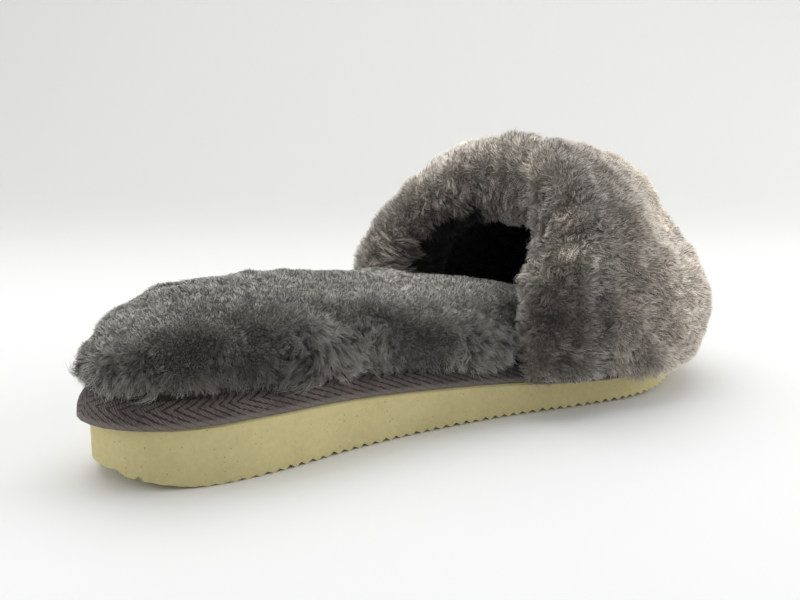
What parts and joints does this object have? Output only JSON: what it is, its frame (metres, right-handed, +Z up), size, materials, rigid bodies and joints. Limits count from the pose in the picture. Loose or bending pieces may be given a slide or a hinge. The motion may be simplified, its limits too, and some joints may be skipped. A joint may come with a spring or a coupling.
{
  "type": "fluffy slide slipper",
  "caption": "Backless left slipper with a closed furry toe, a rolled fur cuff, a deep fur insole and a ribbed foam wedge sole.",
  "frame": {"origin": "the heel's rest spot: the crest of the rib 40 mm ahead of the sole's heel end, on the floor", "axes": "+X towards the toe, +Y towards the outer side of the foot, +Z up"},
  "size_m": [0.2785, 0.1221, 0.1051],
  "materials": {
    "sole_foam": "matte foam",
    "footbed_board": "matte board",
    "herringbone_tape": "herringbone twill",
    "insole_fur": "deep pile",
    "upper_hide": "suede",
    "upper_fur": "deep pile",
    "cuff_fur": "deep pile"
  },
  "bodies": {
    "root": {"outsole": "sole_foam", "footbed": "footbed_board", "edge_tape": "herringbone_tape", "insole_fur": "insole_fur", "upper": "upper_hide", "upper_fur": "upper_fur", "cuff": "cuff_fur"}
  },
  "joints": []
}
